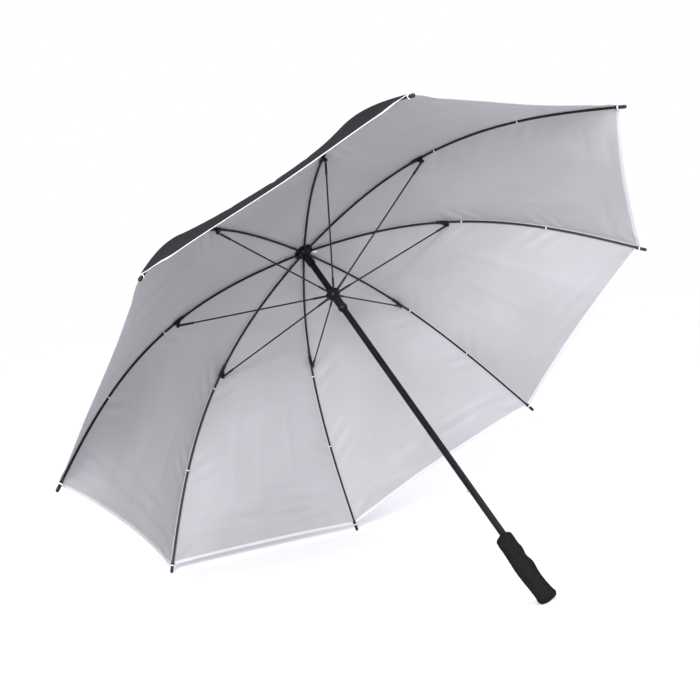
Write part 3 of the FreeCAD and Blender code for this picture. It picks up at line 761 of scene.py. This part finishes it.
def make_patch():
    """The small cloth washer between the ribs and the lining at the hub."""
    rings = [(HOLE_RADIUS - 0.003, 0.5), (PATCH_RADIUS - 0.0004, 0.5), (PATCH_RADIUS, 0.0)]
    rings += [(PATCH_RADIUS - 0.0004, -0.5), (HOLE_RADIUS - 0.003, -0.5)]
    count = 96
    turn = np.linspace(0, 2 * math.pi, count, endpoint=False)
    points = []
    for radius, level in rings:
        z = np.full(count, PATCH_AT + level * PATCH_THICK)
        points.append(np.stack([np.cos(turn) * radius, np.sin(turn) * radius, z], axis=-1))
    points = to_row(np.vstack(points))
    faces = tube_faces(len(rings), count, closed=True)
    piece = mesh_piece("hub_patch", points, outward(points, faces), [COVER])
    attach(piece, "root")


LABEL_RIB = 0
LABEL_FROM = 0.0225
LABEL_TO = 0.0345
LABEL_HALF_WIDTH = 0.0035
LABEL_HALF_THICK = 0.0003
LABEL_UNDER_CLOTH = 0.0011


def make_label(cloth, normals):
    """A small blank white label sewn to the lining beside the hub."""
    panel = (LABEL_RIB - 1) % RIBS
    out, across = panel_middle(panel)
    middle, normal = cloth[panel, :, HALF_COLUMNS], normals[panel, :, HALF_COLUMNS]
    distance = middle @ out
    reach = np.linspace(LABEL_FROM, LABEL_TO, 12)
    line = np.stack([np.interp(reach, distance, middle[:, n]) for n in range(3)], axis=-1)
    up = np.stack([np.interp(reach, distance, normal[:, n]) for n in range(3)], axis=-1)
    line -= up * LABEL_UNDER_CLOTH
    outline = oval_outline(LABEL_HALF_WIDTH, LABEL_HALF_THICK, 16)
    points, faces = swept(line, np.tile(across, (len(reach), 1)), up, outline)
    points = to_row(points)
    piece = mesh_piece("hub_label", points, outward(points, faces), [THREAD])
    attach(piece, BODIES["inner"] % LABEL_RIB)
    fold_flat(piece, LABEL_RIB, "b", "crown")


# (distance below the grip's top, radius on the palm's side, radius on the fingers' side)
GRIP_SECTIONS = (
    (0.0, 0.0120, 0.0098),
    (0.003, 0.0172, 0.0126),
    (0.010, 0.0192, 0.0134),
    (0.025, 0.0194, 0.0132),
    (0.037, 0.0197, 0.0146),
    (0.052, 0.0204, 0.0124),
    (0.067, 0.0209, 0.0156),
    (0.088, 0.0202, 0.0139),
    (0.108, 0.0188, 0.0140),
    (0.126, 0.0180, 0.0160),
    (0.1365, 0.0179, 0.0174),
    (0.1393, 0.0160, 0.0156),
)
GRIP_TOP = -0.7564
FINGERS_AT = math.radians(311)
GRIP_AROUND = 72
GRIP_RINGS = 150
SHAFT_HOLE = 0.0066
# rings of the flat foot, as shares of its radius
FOOT_RINGS = (0.93, 0.6, 0.2)


def eased(places, values, at):
    """A smooth curve through values, with no overshoot beyond what they give."""
    slopes = np.gradient(values, places)
    at = np.asarray(at)
    n = np.clip(np.searchsorted(places, at) - 1, 0, len(places) - 2)
    span = places[n + 1] - places[n]
    t = (at - places[n]) / span
    blend_in = (2 * t ** 3 - 3 * t ** 2 + 1) * values[n] + (t ** 3 - 2 * t ** 2 + t) * span * slopes[n]
    return blend_in + (-2 * t ** 3 + 3 * t ** 2) * values[n + 1] + (t ** 3 - t ** 2) * span * slopes[n + 1]


def make_grip():
    """The foam grip: a palm swell, three finger hollows and a rounded foot."""
    below, palm, fingers = (np.array(column) for column in zip(*GRIP_SECTIONS))
    depth = below[-1] * (1 - np.cos(np.linspace(0, math.pi, GRIP_RINGS))) / 2
    turn = np.linspace(0, 2 * math.pi, GRIP_AROUND, endpoint=False)
    share = (1 + np.cos(turn - FINGERS_AT)) / 2
    palm_radius = eased(below, palm, depth)[:, None]
    finger_radius = eased(below, fingers, depth)[:, None]
    radius = palm_radius * (1 - share) + finger_radius * share
    rings = [(np.full(GRIP_AROUND, SHAFT_HOLE), 0.0)] + list(zip(radius, depth))
    rings += [(radius[-1] * part, depth[-1]) for part in FOOT_RINGS]
    points = []
    for size, down in rings:
        z = np.full(GRIP_AROUND, GRIP_TOP - down)
        points.append(np.stack([np.cos(turn) * size, np.sin(turn) * size, z], axis=-1))
    points = to_row(np.vstack(points))
    faces = tube_faces(len(rings), GRIP_AROUND)
    piece = mesh_piece("foam_grip", points, outward(points, faces), [FOAM])
    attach(piece, "root")
    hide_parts("handle_grip")


# ---- floor, light and camera ----

FLOOR_SIZE = 60.0
CAMERA_AT = Vector((-1.5414, -1.8674, 0.5509))
CAMERA_AIM = Vector((0.6186, 0.7846, -0.0412))
CAMERA_UP = Vector((0.0876, -0.0168, 0.9960))
CAMERA_LENS = 63.5
SENSOR = 36.0
WORLD_LIGHT = 1.0
OVERHEAD_LIGHT = 1.4
OVERHEAD_SPREAD = math.radians(50)
OVERHEAD_FROM = (0.05, -0.62, 0.78)
LIGHTS = (
    ("key", (-2.95, -2.75, 1.5), (0.0, 0.1, 0.4), 1.1, 370.0),
)


def make_stage():
    half = FLOOR_SIZE / 2
    corners = [(-half, -half, 0), (half, -half, 0), (half, half, 0), (-half, half, 0)]
    shader = Shader("floor_paper", roughness=0.9)
    tone = shader.noise(0.6, 2.0)
    shader.colour(shader.ramp(tone, [(0.3, (0.73, 0.73, 0.73)), (0.7, (0.75, 0.75, 0.75))]))
    floor = mesh_piece("floor", corners, [(0, 1, 2, 3)], [shader.material])
    world = bpy.data.worlds.new("studio")
    world.use_nodes = True
    background = world.node_tree.nodes["Background"]
    background.inputs["Color"].default_value = (1.0, 1.0, 1.1, 1.0)
    background.inputs["Strength"].default_value = WORLD_LIGHT
    bpy.context.scene.world = world
    for name, place, aim, size, power in LIGHTS:
        light = bpy.data.lights.new(name, "AREA")
        light.size = size
        light.energy = power
        lamp = bpy.data.objects.new(name, light)
        lamp.location = place
        lamp.rotation_euler = (Vector(aim) - Vector(place)).to_track_quat("-Z", "Y").to_euler()
        bpy.context.scene.collection.objects.link(lamp)
    overhead = bpy.data.lights.new("overhead", "SUN")
    overhead.energy = OVERHEAD_LIGHT
    overhead.angle = OVERHEAD_SPREAD
    lamp = bpy.data.objects.new("overhead", overhead)
    lamp.rotation_euler = (-Vector(OVERHEAD_FROM)).to_track_quat("-Z", "Y").to_euler()
    bpy.context.scene.collection.objects.link(lamp)


def make_camera():
    camera = bpy.data.cameras.new("camera")
    camera.lens = CAMERA_LENS
    camera.sensor_width = SENSOR
    camera.clip_end = 200.0
    holder = bpy.data.objects.new("camera", camera)
    back = -CAMERA_AIM.normalized()
    right = CAMERA_UP.cross(back).normalized()
    up = back.cross(right)
    holder.matrix_world = Matrix.Translation(CAMERA_AT) @ Matrix((right, up, back)).transposed().to_4x4()
    bpy.context.scene.collection.objects.link(holder)
    bpy.context.scene.camera = holder
    bpy.context.scene.view_settings.view_transform = "Standard"


make_camera()
make_stage()
dress_frame()
make_canopy()
make_threads()
make_patch()
make_grip()
